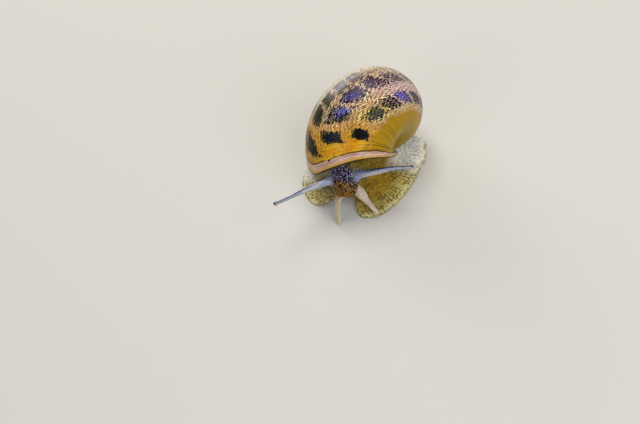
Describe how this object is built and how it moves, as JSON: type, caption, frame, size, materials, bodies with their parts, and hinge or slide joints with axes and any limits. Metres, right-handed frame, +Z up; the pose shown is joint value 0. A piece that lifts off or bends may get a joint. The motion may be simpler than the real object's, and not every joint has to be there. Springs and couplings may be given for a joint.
{
  "type": "garden snail",
  "caption": "Garden snail at life size with a banded right-handed spiral shell, broad spread foot, raised head and feelers stretched out.",
  "frame": {"origin": "on the ground under the middle of the foot, on the flat of the sole", "axes": "+Y runs from head to tail, so the snail faces -Y; +X is the snail's left; +Z is up"},
  "size_m": [0.035, 0.0555, 0.0292],
  "materials": {
    "shell": "glossy banded shell",
    "mantle": "moist soft skin",
    "head_skin": "moist granular skin",
    "foot_skin": "moist grooved skin",
    "feeler_skin": "thin moist skin",
    "eye": "glossy black"
  },
  "bodies": {
    "root": {"eye_left": "eye", "eye_right": "eye", "foot_front_left": "foot_skin", "foot_front_right": "foot_skin", "foot_sole": "foot_skin", "head": "head_skin", "lower_feeler_left_base": "feeler_skin", "lower_feeler_left_tip": "feeler_skin", "lower_feeler_right_base": "feeler_skin", "lower_feeler_right_tip": "feeler_skin", "mantle_collar": "mantle", "neck": "head_skin", "shell": "shell", "tail": "foot_skin", "upper_feeler_left_base": "feeler_skin", "upper_feeler_left_middle": "feeler_skin", "upper_feeler_left_tip": "feeler_skin", "upper_feeler_right_base": "feeler_skin", "upper_feeler_right_middle": "feeler_skin", "upper_feeler_right_tip": "feeler_skin"}
  },
  "joints": []
}
